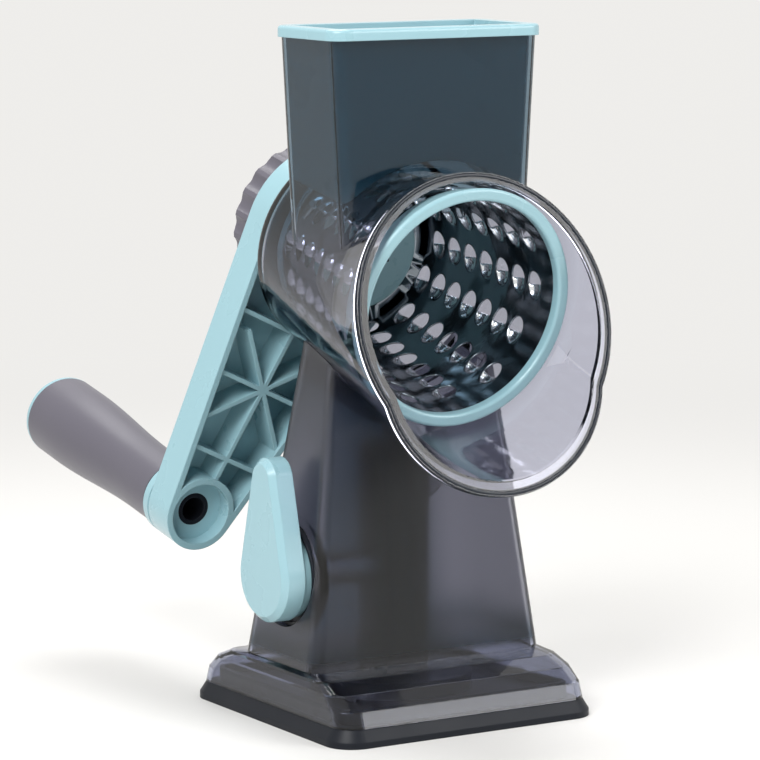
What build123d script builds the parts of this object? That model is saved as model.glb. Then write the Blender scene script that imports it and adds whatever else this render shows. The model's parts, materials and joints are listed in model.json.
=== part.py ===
from build123d import *
from math import asin, atan, atan2, cos, degrees, hypot, pi, radians, sin, sqrt
import os

# Rotary cabbage shredder on a suction foot, in millimetres with +Z up.
# The origin is the centre of the foot's underside. The drum's mouth faces -Y,
# the crank is behind at +Y and the suction lever is on the -X side.

os.makedirs("parts", exist_ok=True)

# Fits
running_gap = 0.05      # radial, shafts that turn in bores
seat_gap = 0.2          # between pieces that seat on each other
slide_gap = 0.5         # each side, pieces that slide
turn_gap = 0.4          # between faces that turn past each other

# Foot, skirt and column
foot_side = 125.0
foot_height = 7.4
foot_lip = 2.6
foot_draw_in = 3.0
foot_corner = 12.0
skirt_side = 120.0
skirt_corner = 10.0
skirt_top = 24.5
column_width = 111.4
column_depth = 58.4
column_corner = 6.0
column_top = 172.0
neck_width = 73.7
neck_front = 14.3
neck_rear = 6.1
neck_corner = 3.0
wall = 2.5

# Barrel, collar and hopper: the barrel's axis leans down towards the mouth
barrel_tilt = 11.53
ring_height = 173.1
ring_forward = 54.1
barrel_length = 92.0
barrel_radius = 45.0
barrel_waist_radius = 46.0
waist_end = 40.0
flare_start = 22.0
flare_radius = 48.4
barrel_rear_round = 4.0
rim_overrun = 3.0
rim_setback = -17.6
rim_rake = 0.5
collar_radius = 58.0
collar_rise = 1.0
lobe_drop = 22.0
lobe_half_width = 50.0
lobe_half_height = 46.5
lobe_start = 85.0
rim_bead = 1.6
rim_bead_length = 3.4
hopper_front = 36.0
hopper_rear = 11.0
hopper_top = 280.4
hopper_half_width = 48.8
hopper_draft = 0.0584
hopper_corner = 6.0
hopper_root = 188.0
tongue_width = 28.0
tongue_bottom = 90.0
tongue_thickness = 2.4
neck_depth = 8.0

# Drum
drum_sheet = 0.6
drum_front_radius = 45.8
drum_taper = 0.14
drum_start = 3.2
drum_end = 84.0
drum_flange_bore = 26.0
blade_rows = 13
drum_flats = 2 * blade_rows
blades_per_row = 7
blade_first = 14.5
blade_pitch = 10.2
blade_stagger = 4.0
blade_row_angle = 31.0
blade_length = 12.0
blade_width = 6.4
blade_lift = 2.0
blade_slant = 9.0
blade_tip = 2.4
ring_radius = 50.6
ring_bore = 45.0
ring_front = -1.2
ring_back = 9.0
ring_round = 1.4
ring_draft = 3.0
hub_radius = 35.0
hub_thickness = 3.7
hub_boss_radius = 25.0
hub_boss_front = 77.5

# Drive
spindle_radius = 12.0
spindle_seat_radius = 10.5
hex_flats = 16.0
hex_length = 7.6
bush_wall = 3.0
bush_flange = 3.0
bush_flange_thickness = 1.5
washer_radius = 17.0
washer_thickness = 1.8
arm_front = 94.5
arm_depth = 18.0
arm_wall = 2.6
arm_web = 3.0
arm_round = 1.2
arm_hub_radius = 38.5
boss_x = -56.9
boss_u = -117.4
boss_radius = 16.0
boss_bore = 13.3
boss_bore_depth = 6.7
boss_collar = 4.0
hub_tube_radius = 15.0
rib_thickness = 1.9
rib_set_down = 1.6
rib_low = 25.5
rib_star = 58.5
rib_high = 86.0
knob_radius = 35.0
knob_length = 16.0
knob_flutes = 22
knob_flute_radius = 5.2
knob_flute_depth = 1.9
knob_round = 1.5
knob_dish = 4.0
knob_bar = 12.0
stem_radius = 4.0
stem_cap = 3.0
lug_length = 20.0
lug_width = 7.0
lug_thickness = 3.2

# Grip
axle_radius = 7.1
axle_bore = 5.2
axle_flange_radius = 10.5
axle_flange_thickness = 1.6
grip_length = 104.0
grip_front_radius = 14.8
grip_middle_radius = 16.2
grip_end_radius = 18.0
grip_bearing = 14.0
grip_relief_radius = 10.0
cap_length = 8.5
cap_round = 3.4
cap_plug_radius = 13.5
cap_plug_length = 3.0
cap_pocket_length = 12.0
retainer_radius = 11.0
retainer_thickness = 2.0
retainer_screw_radius = 2.5
retainer_head_radius = 5.0
retainer_head_height = 3.0
retainer_screw_length = 14.0

# Food pusher
pusher_wall = 2.2
pusher_rim_overhang = 1.6
pusher_rim_round = 1.5
pusher_rim_height = 4.6
pusher_arch_radius = 64.0
pusher_arch_top = 52.7

# Suction works
travel = 4.0
pivot_height = 61.0
crank_angle = 45.0
shaft_radius = 7.0
pin_radius = 3.0
pin_lift_gap = 0.3
journal_radius = 3.2
lever_back = 53.2
lever_thickness = 10.2
lever_root_radius = 19.0
lever_tip_radius = 9.0
lever_reach = 40.0
lever_bevel = 2.4
lever_boss_radius = 18.0
pocket_radius = 21.6
pocket_floor = 47.6
pocket_wall = 2.4
bush_floor = 1.5
bush_lip = 1.5
bush_lip_height = 3.4
shaft_flat = 1.6
shaft_socket = 6.0
clip_radius = 6.5
clip_thickness = 1.2
tray_side = 108.0
tray_corner = 7.0
tray_thickness = 2.5
tray_edge = 2.2
tray_edge_height = 3.4
dome_radius = 32.5
dome_top = 16.0
dome_wall = 2.2
tower_width = 20.0
tower_depth = 23.0
tower_wall_x = 3.0
tower_wall_y = 2.5
tower_top = 112.0
block_height = 17.0
neck_rod_radius = 4.5
disc_radius = 27.0
disc_thickness = 2.6
disc_round = 0.8
cup_radius = 44.0
cup_floor_gap = 0.4
cup_edge = 1.3
cup_crown = 2.4
cup_hollow = 1.0
foot_bore = 46.5

# The barrel's own frame: s runs rearwards along the axis, u is up across it
lean = radians(barrel_tilt)
ring_centre = Vector(0, -ring_forward, ring_height)
to_rear = Vector(0, cos(lean), sin(lean))
to_mouth = to_rear * -1
up_across = Vector(0, -sin(lean), cos(lean))
barrel_axis = Axis(ring_centre, to_rear)
barrel_side = Plane(origin=ring_centre, x_dir=to_rear, z_dir=(1, 0, 0))


def across(s):
    """Plane square to the barrel's axis, s behind the ring, facing the mouth."""
    return Plane(origin=ring_centre + to_rear * s, x_dir=(1, 0, 0), z_dir=to_mouth)


rim_normal = (to_mouth + up_across * rim_rake).normalized()
rim_plane = Plane(origin=ring_centre + to_rear * rim_setback, x_dir=(1, 0, 0), z_dir=rim_normal)


def column_section(z, inset):
    """Rounded rectangle of the column at height z, drawn in by inset."""
    share = (z - skirt_top) / (column_top - skirt_top)
    width = column_width + (neck_width - column_width) * share
    front = column_depth / 2 + (neck_front - column_depth / 2) * share
    rear = column_depth / 2 + (neck_rear - column_depth / 2) * share
    corner = column_corner + (neck_corner - column_corner) * share
    with BuildSketch(Plane.XY.offset(z)) as section:
        with Locations((0, (rear - front) / 2)):
            RectangleRounded(width - 2 * inset, front + rear - 2 * inset, max(corner - inset, 0.8))
    return section.sketch


def column_form(inset, bottom, top):
    """Tapering column between two heights."""
    with BuildPart() as form:
        loft(sections=[column_section(bottom, inset), column_section(top, inset)])
    return form.part


def skirt_form(inset):
    """Quarter-round skirt from the square foot up to the column."""
    height = skirt_top - inset - foot_height
    sections = []
    for share in (0.0, 0.38, 0.71, 0.92, 1.0):
        swell = sqrt(1 - share**2)
        width = column_width + (skirt_side - column_width) * swell - 2 * inset
        depth = column_depth + (skirt_side - column_depth) * swell - 2 * inset
        corner = column_corner + (skirt_corner - column_corner) * swell - inset
        with BuildSketch(Plane.XY.offset(foot_height + height * share)) as section:
            RectangleRounded(width, depth, corner)
        sections.append(section.sketch)
    with BuildPart() as form:
        loft(sections=sections, ruled=True)
    return form.part


def barrel_form(grow):
    """Round barrel that flares into the collar, with its chute lobe, grown by grow."""
    end = barrel_length + grow
    with BuildPart() as form:
        with BuildSketch(barrel_side):
            with BuildLine():
                waist = Polyline(
                    (flare_start, 0),
                    (flare_start, flare_radius + grow),
                    (waist_end, barrel_waist_radius + grow),
                    (end - barrel_rear_round, barrel_radius + grow),
                )
                corner = RadiusArc(
                    waist @ 1, (end, barrel_radius + grow - barrel_rear_round), barrel_rear_round
                )
                Polyline(corner @ 1, (end, 0), (flare_start, 0))
            make_face()
        revolve(axis=barrel_axis)
        with BuildSketch(across(flare_start)) as collar_root:
            Circle(flare_radius + grow)
        with BuildSketch(rim_plane.offset(rim_overrun)) as collar_mouth:
            with Locations((0, collar_rise)):
                Circle(collar_radius + grow)
        loft(sections=[collar_root.sketch, collar_mouth.sketch])
        with BuildSketch(across(lobe_start)) as lobe_root:
            Circle(barrel_radius + grow)
        with BuildSketch(rim_plane.offset(rim_overrun)) as lobe_mouth:
            with Locations((0, -lobe_drop)):
                Ellipse(lobe_half_width + grow, lobe_half_height + grow)
        loft(sections=[lobe_root.sketch, lobe_mouth.sketch])
        split(bisect_by=rim_plane, keep=Keep.BOTTOM)
    return form.part


def hopper_section(z, inset):
    """Rounded rectangle of the hopper at height z."""
    half_width = hopper_half_width - (hopper_top - z) * hopper_draft - inset
    with BuildSketch(Plane.XY.offset(z)) as section:
        with Locations((0, (hopper_rear - hopper_front) / 2)):
            RectangleRounded(2 * half_width, hopper_front + hopper_rear - 2 * inset, hopper_corner - inset)
    return section.sketch


def hopper_form(inset, bottom, top):
    """Drafted hopper between two heights."""
    with BuildPart() as form:
        loft(sections=[hopper_section(bottom, inset), hopper_section(top, inset)])
    return form.part


# Rubber foot: a square frame round the suction cup
foot_flank = foot_height - foot_lip
with BuildPart() as suction_foot:
    with BuildSketch(Plane.XY):
        RectangleRounded(foot_side, foot_side, foot_corner)
    extrude(amount=foot_lip)
    with BuildSketch(Plane.XY.offset(foot_lip)):
        RectangleRounded(foot_side, foot_side, foot_corner)
    extrude(amount=foot_flank, taper=degrees(atan(foot_draw_in / foot_flank)))
    with BuildSketch(Plane.XY):
        Circle(foot_bore)
    extrude(amount=foot_height, mode=Mode.SUBTRACT)

suction_foot.part.label = "suction_foot"
export_step(suction_foot.part, "parts/suction_foot.step")

# Stand shell: skirt and column in one moulding, saddled under the barrel
pocket_face = Plane.YZ.offset(-(pocket_floor - pocket_wall))
with BuildPart() as stand_cavity:
    add(skirt_form(wall))
    add(column_form(wall, skirt_top - wall, column_top + wall))
    with BuildSketch(pocket_face):
        with Locations((0, pivot_height)):
            Circle(pocket_radius + pocket_wall)
    extrude(amount=-skirt_side / 2, mode=Mode.SUBTRACT)

with BuildPart() as stand_shell:
    add(skirt_form(0))
    add(column_form(0, skirt_top, column_top))
    add(stand_cavity.part, mode=Mode.SUBTRACT)
    add(barrel_form(seat_gap), mode=Mode.SUBTRACT)
    with BuildSketch(Plane.YZ.offset(-pocket_floor)):
        with Locations((0, pivot_height)):
            Circle(pocket_radius)
    extrude(amount=-skirt_side / 2, mode=Mode.SUBTRACT)
    with BuildSketch(pocket_face):
        with Locations((0, pivot_height)):
            Circle(shaft_radius + bush_wall + running_gap)
    extrude(amount=-pocket_wall, mode=Mode.SUBTRACT)

stand_shell.part.label = "stand_shell"
export_step(stand_shell.part, "parts/stand_shell.step")

# Housing: barrel, collar, chute lobe and hopper in one clear moulding
tongue_y = -column_depth / 2 + wall + seat_gap
front_slope = (column_depth / 2 - neck_front) / (column_top - skirt_top)
front_angle = atan(front_slope)
tongue_root = Vector(0, tongue_y + (tongue_bottom - skirt_top) * front_slope, tongue_bottom)
tongue_plane = Plane(origin=tongue_root, x_dir=(1, 0, 0), z_dir=(0, -cos(front_angle), sin(front_angle)))
neck_inset = wall + seat_gap
with BuildPart() as housing_neck:
    add(column_form(neck_inset, tongue_bottom, column_top))
    add(column_form(neck_inset + tongue_thickness, tongue_bottom, column_top), mode=Mode.SUBTRACT)
    add(barrel_form(neck_depth), mode=Mode.INTERSECT)

with BuildPart() as housing_shell:
    add(barrel_form(0))
    add(hopper_form(0, hopper_root, hopper_top))
    add(housing_neck.part)
    with BuildSketch(tongue_plane):
        with Locations((0, tongue_width / 2)):
            Circle(tongue_width / 2)
        with Locations((0, tongue_width)):
            Rectangle(tongue_width, tongue_width)
    extrude(amount=-tongue_thickness)
    with BuildSketch(rim_plane):
        with Locations((0, collar_rise)):
            Circle(collar_radius + rim_bead)
        with Locations((0, -lobe_drop)):
            Ellipse(lobe_half_width + rim_bead, lobe_half_height + rim_bead)
    extrude(amount=-rim_bead_length)
    add(barrel_form(-wall), mode=Mode.SUBTRACT)
    add(hopper_form(wall, hopper_root, hopper_top + wall), mode=Mode.SUBTRACT)
    with BuildSketch(barrel_side):
        Polygon(
            (ring_front - ring_back, 0),
            (ring_front - ring_back, ring_radius + turn_gap),
            (ring_front, ring_radius + turn_gap),
            (ring_back, ring_radius - ring_draft + turn_gap),
            (ring_back, 0),
            align=None,
        )
    revolve(axis=barrel_axis, mode=Mode.SUBTRACT)
    with BuildSketch(across(barrel_length)):
        Circle(spindle_radius + bush_wall + 2 * running_gap)
    extrude(amount=wall, mode=Mode.SUBTRACT)

housing_shell.part.label = "housing_shell"
export_step(housing_shell.part, "parts/housing_shell.step")

# Bush that carries the crank's spindle in the barrel's rear wall
with BuildPart() as rear_bush:
    with BuildSketch(across(barrel_length - wall - bush_flange_thickness)):
        Circle(spindle_radius + bush_wall + bush_flange)
        Circle(spindle_radius + running_gap, mode=Mode.SUBTRACT)
    extrude(amount=-bush_flange_thickness + seat_gap / 2)
    with BuildSketch(across(barrel_length)):
        Circle(spindle_radius + bush_wall + running_gap)
        Circle(spindle_radius + running_gap, mode=Mode.SUBTRACT)
    extrude(amount=wall + seat_gap / 2)

rear_bush.part.label = "rear_bush"
export_step(rear_bush.part, "parts/rear_bush.step")

# Drum: a thin steel cone in narrow flats, with punched blades that lift outwards
drum_slope = degrees(atan(drum_taper))
flat_share = cos(pi / drum_flats)


def drum_form(inset, end):
    """Many-sided cone of the drum's sheet, its flats set in by inset, up to end."""
    with BuildPart() as form:
        with BuildSketch(across(drum_start)):
            corner_radius = drum_front_radius - inset / flat_share
            RegularPolygon(corner_radius, drum_flats, rotation=blade_row_angle + 180 / drum_flats)
        extrude(amount=-(end - drum_start), taper=drum_slope)
    return form.part


with BuildPart() as drum_sheeting:
    add(drum_form(0, drum_end))
    add(drum_form(drum_sheet, drum_end - drum_sheet), mode=Mode.SUBTRACT)
    with BuildSketch(across(drum_end)):
        Circle(drum_flange_bore)
    extrude(amount=drum_sheet, mode=Mode.SUBTRACT)

blade_planes = []
for row in range(blade_rows):
    turn = radians(blade_row_angle + row * 360 / blade_rows)
    outward = Vector(1, 0, 0) * cos(turn) + up_across * sin(turn)
    around = up_across * cos(turn) - Vector(1, 0, 0) * sin(turn)
    for place in range(blades_per_row):
        s = blade_first + blade_pitch * place + blade_stagger * (row % 2)
        radius = drum_front_radius * flat_share - drum_taper * (s - drum_start)
        spot = ring_centre + to_rear * s + outward * radius
        normal = outward + to_rear * drum_taper
        blade_planes.append(Plane(origin=spot, x_dir=around, z_dir=normal).rotated((0, 0, blade_slant)))

# A blade: a long window whose trailing half is roofed by a raised scoop
half_blade = blade_length / 2
with BuildPart() as blade_window:
    with BuildSketch(Plane.XY.offset(-2 * blade_lift)):
        Polygon(
            (-half_blade, -blade_tip / 2),
            (0, -blade_width / 2),
            (half_blade, -blade_tip / 2),
            (half_blade, blade_tip / 2),
            (0, blade_width / 2),
            (-half_blade, blade_tip / 2),
            align=None,
        )
    extrude(amount=4 * blade_lift)


def scoop_form(inset, foot):
    """Wedge from the lip down to the toe, narrower at the toe, set in by inset."""
    toe = -half_blade - drum_sheet + inset
    mouth_half = (blade_width + drum_sheet) / 2 - inset
    toe_half = (blade_tip + drum_sheet) / 2 - inset
    with BuildPart() as form:
        with BuildSketch(Plane.XZ):
            Polygon((0, foot), (0, blade_lift - inset), (toe, -inset), (toe, foot), align=None)
        extrude(amount=blade_width, both=True)
        with BuildSketch(Plane.XY.offset(foot)):
            Polygon((0, -mouth_half), (0, mouth_half), (toe, toe_half), (toe, -toe_half), align=None)
        extrude(amount=blade_lift - foot, mode=Mode.INTERSECT)
    return form.part


with BuildPart() as blade_scoop:
    add(scoop_form(0, -drum_sheet))
    add(scoop_form(drum_sheet, -2 * drum_sheet), mode=Mode.SUBTRACT)

with BuildPart() as drum_cone:
    add(drum_sheeting.part)
    with Locations(*blade_planes):
        add(blade_window.part, mode=Mode.SUBTRACT)
    with Locations(*blade_planes):
        add(blade_scoop.part)

drum_cone.part.label = "drum_cone"
export_step(drum_cone.part, "parts/drum_cone.step")

# Teal ring that carries the drum's front edge in the collar
with BuildPart() as drum_ring:
    with BuildSketch(barrel_side):
        Polygon(
            (ring_front, ring_bore),
            (ring_front, ring_radius),
            (ring_back, ring_radius - ring_draft),
            (ring_back, drum_front_radius - drum_taper * (ring_back - drum_start) + seat_gap / 2),
            (drum_start - seat_gap / 2, drum_front_radius + seat_gap / 2),
            (drum_start - seat_gap / 2, ring_bore),
            align=None,
        )
    revolve(axis=barrel_axis)
    fillet(drum_ring.edges().group_by(barrel_axis)[0], ring_round)

drum_ring.part.label = "drum_ring"
export_step(drum_ring.part, "parts/drum_ring.step")

# Hub moulded on the drum's rear flange, with a hexagon socket and a keyhole
hub_face = drum_end + seat_gap / 2
hub_end = hub_face + hub_thickness
with BuildPart() as drum_hub:
    with BuildSketch(across(hub_face)):
        Circle(hub_radius)
    extrude(amount=-hub_thickness)
    with BuildSketch(across(hub_boss_front)):
        Circle(hub_boss_radius)
    extrude(amount=-(hub_face - hub_boss_front))
    with BuildSketch(across(hub_end)):
        RegularPolygon(hex_flats / 2 + running_gap, 6, major_radius=False)
    extrude(amount=hex_length, mode=Mode.SUBTRACT)
    with BuildSketch(across(hub_boss_front)):
        Circle(stem_radius + running_gap)
        Rectangle(lug_length + 2 * seat_gap, lug_width + 2 * seat_gap, rotation=90)
    extrude(amount=-hub_thickness - (hub_face - hub_boss_front), mode=Mode.SUBTRACT)
    fillet(drum_hub.edges().group_by(barrel_axis)[0].sort_by(Edge.length)[-1], ring_round)

drum_hub.part.label = "drum_hub"
export_step(drum_hub.part, "parts/drum_hub.step")

# Spindle: hexagon nose, round journal in the rear bush and a seat in the crank
spindle_nose = hub_end - hex_length + seat_gap
journal_start = barrel_length - wall - bush_flange_thickness - seat_gap
spindle_end = arm_front + arm_depth - arm_web
with BuildPart() as drive_spindle:
    with BuildSketch(across(spindle_nose)):
        RegularPolygon(hex_flats / 2, 6, major_radius=False)
    extrude(amount=-(journal_start - spindle_nose))
    with BuildSketch(across(journal_start)):
        Circle(spindle_radius)
    extrude(amount=-(arm_front - journal_start))
    with BuildSketch(across(arm_front)):
        Circle(spindle_seat_radius)
    extrude(amount=-(spindle_end - arm_front))
    with BuildSketch(across(spindle_nose)):
        Circle(stem_radius + running_gap)
    extrude(amount=-(spindle_end - spindle_nose), mode=Mode.SUBTRACT)

drive_spindle.part.label = "drive_spindle"
export_step(drive_spindle.part, "parts/drive_spindle.step")

washer_start = arm_front - seat_gap - washer_thickness
with BuildPart() as thrust_washer:
    with BuildSketch(across(washer_start)):
        Circle(washer_radius)
        Circle(spindle_radius + seat_gap, mode=Mode.SUBTRACT)
    extrude(amount=-washer_thickness)

thrust_washer.part.label = "thrust_washer"
export_step(thrust_washer.part, "parts/thrust_washer.step")


# Crank arm: a ribbed channel, open towards the barrel
boss_distance = hypot(boss_x, boss_u)
boss_angle = degrees(atan2(boss_u, boss_x))


def teardrop(inset):
    """Outline round the crank's hub and its grip boss, drawn in by inset."""
    with BuildSketch() as outline:
        Circle(arm_hub_radius - inset)
        with Locations((boss_x, boss_u)):
            Circle(boss_radius - inset)
        make_hull()
    return outline.sketch


def along_arm(distance):
    """Point on the arm's centre line, measured from the grip boss."""
    share = 1 - distance / boss_distance
    return (boss_x * share, boss_u * share)


pocket_depth = arm_depth - arm_web
with BuildPart() as crank_arm:
    with BuildSketch(across(arm_front)):
        add(teardrop(0))
    extrude(amount=-arm_depth)
    fillet(crank_arm.edges().group_by(barrel_axis)[-1], arm_round)
    with BuildSketch(across(arm_front)):
        add(teardrop(arm_wall))
        Circle(hub_tube_radius, mode=Mode.SUBTRACT)
        with Locations((boss_x, boss_u)):
            Circle(boss_radius, mode=Mode.SUBTRACT)
    extrude(amount=-pocket_depth, mode=Mode.SUBTRACT)
    with BuildSketch(across(arm_front + rib_set_down)):
        with Locations(along_arm(boss_distance / 2)):
            Rectangle(boss_distance, rib_thickness, rotation=boss_angle)
        for distance in (rib_low, rib_star, rib_high):
            with Locations(along_arm(distance)):
                Rectangle(rib_thickness, 2 * arm_hub_radius, rotation=boss_angle)
        for cant in (-45, 45):
            with Locations(along_arm(rib_star)):
                Rectangle(rib_thickness, rib_star, rotation=boss_angle + cant)
        add(teardrop(arm_wall / 2), mode=Mode.INTERSECT)
        Circle(hub_tube_radius - rib_thickness, mode=Mode.SUBTRACT)
        with Locations((boss_x, boss_u)):
            Circle(boss_radius - rib_thickness, mode=Mode.SUBTRACT)
    extrude(amount=-(pocket_depth - rib_set_down))
    with BuildSketch(across(arm_front)):
        with Locations((boss_x, boss_u)):
            Circle(boss_bore)
    extrude(amount=-boss_bore_depth, mode=Mode.SUBTRACT)
    with BuildSketch(across(arm_front + arm_depth)):
        with Locations((boss_x, boss_u)):
            Circle(boss_radius)
    extrude(amount=-boss_collar)
    with BuildSketch(across(arm_front)):
        with Locations((boss_x, boss_u)):
            Circle(axle_radius + running_gap)
    extrude(amount=-(arm_depth + boss_collar), mode=Mode.SUBTRACT)
    with BuildSketch(across(arm_front)):
        Circle(spindle_seat_radius + running_gap)
    extrude(amount=-(pocket_depth + seat_gap), mode=Mode.SUBTRACT)
    with BuildSketch(across(arm_front)):
        Circle(stem_radius + 2 * running_gap)
    extrude(amount=-arm_depth, mode=Mode.SUBTRACT)

crank_arm.part.label = "crank_arm"
export_step(crank_arm.part, "parts/crank_arm.step")

# Locking knob behind the crank, with fluted edge, and its steel stem
knob_front = arm_front + arm_depth + turn_gap
with BuildPart() as lock_knob:
    with BuildSketch(across(knob_front)):
        Circle(knob_radius)
    extrude(amount=-knob_length)
    chamfer(lock_knob.edges().filter_by(GeomType.CIRCLE), knob_round)
    with BuildSketch(across(knob_front)):
        with PolarLocations(knob_radius + knob_flute_radius - knob_flute_depth, knob_flutes):
            Circle(knob_flute_radius)
    extrude(amount=-knob_length, mode=Mode.SUBTRACT)
    with BuildSketch(across(knob_front + knob_length)):
        Circle(knob_radius - 2 * knob_flute_depth - knob_round)
    extrude(amount=knob_dish, mode=Mode.SUBTRACT)
    with BuildSketch(across(knob_front + knob_length)):
        Rectangle(2 * knob_radius - 4 * knob_flute_depth, knob_bar)
        Circle(knob_radius - 2 * knob_flute_depth - knob_round, mode=Mode.INTERSECT)
    extrude(amount=knob_dish)
    with BuildSketch(across(knob_front)):
        Circle(stem_radius + running_gap)
    extrude(amount=-(knob_length - knob_dish - stem_cap), mode=Mode.SUBTRACT)

lock_knob.part.label = "lock_knob"
export_step(lock_knob.part, "parts/lock_knob.step")

# The stem ends in a cross lug that turns behind the drum hub's keyhole
lug_front = hub_boss_front - seat_gap - lug_thickness
stem_end = knob_front + knob_length - knob_dish - stem_cap - seat_gap / 2
with BuildPart() as knob_stem:
    with BuildSketch(across(lug_front)):
        Rectangle(lug_length, lug_width)
    extrude(amount=-lug_thickness)
    with BuildSketch(across(lug_front)):
        Circle(stem_radius)
    extrude(amount=-(stem_end - lug_front))

knob_stem.part.label = "knob_stem"
export_step(knob_stem.part, "parts/knob_stem.step")

# Grip: a hollow axle set in the crank's boss, with the sleeve turning on it
grip_centre = ring_centre + Vector(boss_x, 0, 0) + up_across * boss_u
grip_axis = Axis(grip_centre, to_rear)
grip_side = Plane(origin=grip_centre, x_dir=to_rear, z_dir=(1, 0, 0))
axle_start = arm_front + boss_bore_depth
collar_end = arm_front + arm_depth + boss_collar
sleeve_start = collar_end + axle_flange_thickness + turn_gap + seat_gap
sleeve_end = sleeve_start + grip_length
axle_end = sleeve_end - cap_pocket_length + turn_gap


def grip_across(s):
    """Plane square to the grip's axis, s behind the ring, facing the mouth."""
    return Plane(origin=grip_centre + to_rear * s, x_dir=(1, 0, 0), z_dir=to_mouth)


with BuildPart() as grip_axle:
    with BuildSketch(grip_across(axle_start)):
        Circle(axle_radius)
    extrude(amount=-(axle_end - axle_start))
    with BuildSketch(grip_across(collar_end + seat_gap)):
        Circle(axle_flange_radius)
    extrude(amount=-axle_flange_thickness)
    with BuildSketch(grip_across(axle_start)):
        Circle(axle_bore)
    extrude(amount=-(axle_end - axle_start - retainer_screw_length), mode=Mode.SUBTRACT)
    with BuildSketch(grip_across(axle_end)):
        Circle(retainer_screw_radius + running_gap)
    extrude(amount=retainer_screw_length, mode=Mode.SUBTRACT)

grip_axle.part.label = "grip_axle"
export_step(grip_axle.part, "parts/grip_axle.step")

with BuildPart() as grip_sleeve:
    with BuildSketch(grip_side):
        with BuildLine():
            swell = Spline(
                (sleeve_start + grip_length * 0.2, grip_front_radius),
                (sleeve_start + grip_length * 0.5, grip_middle_radius),
                (sleeve_start + grip_length * 0.85, grip_end_radius),
                tangents=[(1, 0), (1, 0)],
            )
            Polyline(
                swell @ 1,
                (sleeve_end, grip_end_radius),
                (sleeve_end, 0),
                (sleeve_start, 0),
                (sleeve_start, grip_front_radius),
                swell @ 0,
            )
        make_face()
    revolve(axis=grip_axis)
    with BuildSketch(grip_side):
        Polygon(
            (sleeve_start, 0),
            (sleeve_start, axle_radius + running_gap),
            (sleeve_start + grip_bearing, axle_radius + running_gap),
            (sleeve_start + grip_bearing, grip_relief_radius),
            (axle_end - turn_gap - grip_bearing, grip_relief_radius),
            (axle_end - turn_gap - grip_bearing, axle_radius + running_gap),
            (axle_end - turn_gap, axle_radius + running_gap),
            (axle_end - turn_gap, cap_plug_radius + running_gap),
            (sleeve_end, cap_plug_radius + running_gap),
            (sleeve_end, 0),
            align=None,
        )
    revolve(axis=grip_axis, mode=Mode.SUBTRACT)

grip_sleeve.part.label = "grip_sleeve"
export_step(grip_sleeve.part, "parts/grip_sleeve.step")

# Washer and screw that keep the sleeve on its axle, under the end cap
with BuildPart() as grip_retainer:
    with BuildSketch(grip_across(axle_end)):
        Circle(retainer_radius)
        Circle(retainer_screw_radius + running_gap, mode=Mode.SUBTRACT)
    extrude(amount=-retainer_thickness)

grip_retainer.part.label = "grip_retainer"
export_step(grip_retainer.part, "parts/grip_retainer.step")

with BuildPart() as grip_screw:
    with BuildSketch(grip_across(axle_end + retainer_thickness)):
        Circle(retainer_screw_radius)
    extrude(amount=retainer_screw_length)
    with BuildSketch(grip_across(axle_end + retainer_thickness)):
        Circle(retainer_head_radius)
    extrude(amount=-retainer_head_height)
    chamfer(grip_screw.edges().group_by(grip_axis)[-1], disc_round)
    with BuildSketch(grip_across(axle_end + retainer_thickness + retainer_head_height)):
        Rectangle(retainer_head_radius, retainer_screw_radius / 2)
        Rectangle(retainer_screw_radius / 2, retainer_head_radius)
    extrude(amount=retainer_head_height / 2, mode=Mode.SUBTRACT)

grip_screw.part.label = "grip_screw"
export_step(grip_screw.part, "parts/grip_screw.step")

crown_rise = cap_length / 2
crown_radius = ((grip_end_radius - cap_round) ** 2 + crown_rise**2) / (2 * crown_rise)
with BuildPart() as grip_end_cap:
    with BuildSketch(grip_side):
        with BuildLine():
            corner = TangentArc(
                (sleeve_end + crown_rise - cap_round, grip_end_radius),
                (sleeve_end + crown_rise, grip_end_radius - cap_round),
                tangent=(1, 0),
            )
            crown = RadiusArc(corner @ 1, (sleeve_end + cap_length, 0), crown_radius)
            Polyline(
                crown @ 1,
                (sleeve_end - cap_plug_length, 0),
                (sleeve_end - cap_plug_length, cap_plug_radius),
                (sleeve_end, cap_plug_radius),
                (sleeve_end, grip_end_radius),
                corner @ 0,
            )
        make_face()
    revolve(axis=grip_axis)

grip_end_cap.part.label = "grip_end_cap"
export_step(grip_end_cap.part, "parts/grip_end_cap.step")

# Food pusher: an open-topped box whose floor is arched over the drum
arch_centre = ring_centre + up_across * (pusher_arch_top - pusher_arch_radius)
arch_span = hopper_front + hopper_rear
with BuildPart() as pusher_arch:
    with BuildSketch(Plane(origin=arch_centre - to_rear * arch_span, x_dir=(1, 0, 0), z_dir=to_mouth)):
        Circle(pusher_arch_radius)
    extrude(amount=-4 * arch_span)

with BuildPart() as pusher_arch_top_side:
    with BuildSketch(Plane(origin=arch_centre - to_rear * arch_span, x_dir=(1, 0, 0), z_dir=to_mouth)):
        Circle(pusher_arch_radius + pusher_wall)
    extrude(amount=-4 * arch_span)

pusher_inset = wall + slide_gap
pusher_bottom = hopper_root + wall
rim_base = hopper_top + seat_gap
with BuildPart() as pusher_hollow:
    add(hopper_form(pusher_inset + pusher_wall, pusher_bottom, rim_base + pusher_rim_height))
    add(pusher_arch_top_side.part, mode=Mode.SUBTRACT)

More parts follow.
